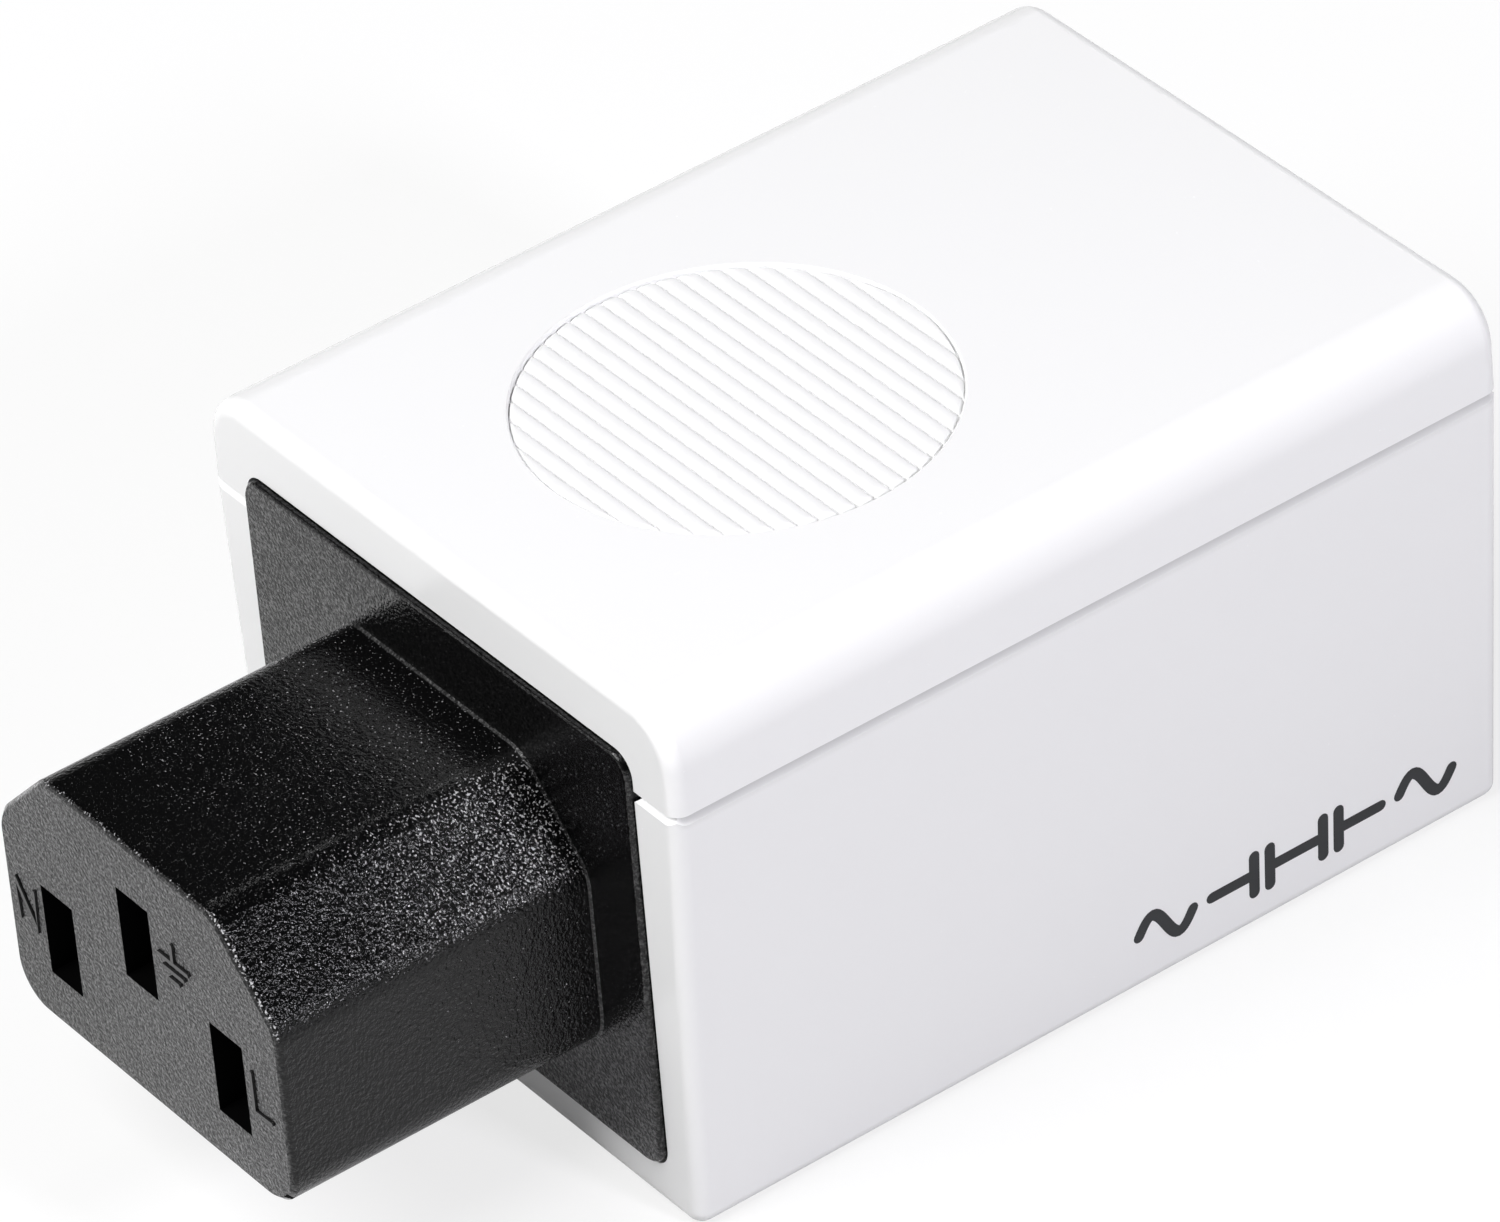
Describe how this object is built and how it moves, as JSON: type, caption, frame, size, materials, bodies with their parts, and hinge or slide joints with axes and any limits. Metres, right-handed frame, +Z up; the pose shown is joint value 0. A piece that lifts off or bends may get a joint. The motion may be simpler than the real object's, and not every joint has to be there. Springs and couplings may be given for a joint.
{
  "type": "mains dc blocker",
  "caption": "Small white in-line mains adapter: keyed appliance inlet at the back, keyed outlet plug at the front, blocking capacitors and rectifier inside.",
  "frame": {"origin": "centre of the case's flat underside", "axes": "+X to the right seen from the outlet side, +Y from the outlet plug towards the inlet, +Z up"},
  "size_m": [0.0374, 0.0693, 0.031],
  "materials": {
    "white_case": "moulded white, glossy, smooth",
    "black_moulding": "moulded black, fine spark-eroded grain, low sheen",
    "contact_brass": "folded strip, bright",
    "plated_pin": "nickel plated, bright",
    "board_laminate": "green coated glass laminate",
    "can_aluminium": "aluminium can in a dark sleeve",
    "component_black": "moulded, matte",
    "film_box": "moulded yellow box, satin",
    "resistor_coat": "lacquered, pale blue",
    "brown_insulation": "soft brown insulation",
    "blue_insulation": "soft blue insulation",
    "green_insulation": "soft green insulation with a yellow stripe"
  },
  "bodies": {
    "root": {"top_cover": "white_case", "bottom_shell": "white_case", "outlet_body": "black_moulding", "outlet_rear_cap": "black_moulding", "inlet_body": "black_moulding", "circuit_board": "board_laminate", "outlet_neutral_contact": "contact_brass", "outlet_earth_contact": "contact_brass", "outlet_line_contact": "contact_brass", "inlet_neutral_pin": "plated_pin", "inlet_earth_pin": "plated_pin", "inlet_line_pin": "plated_pin", "blocking_capacitor_1": "can_aluminium", "blocking_capacitor_2": "can_aluminium", "blocking_capacitor_3": "can_aluminium", "blocking_capacitor_4": "can_aluminium", "bridge_rectifier": "component_black", "film_capacitor": "film_box", "bleeder_resistor": "resistor_coat", "line_lead": "brown_insulation", "neutral_lead": "blue_insulation", "earth_lead": "green_insulation"}
  },
  "joints": []
}
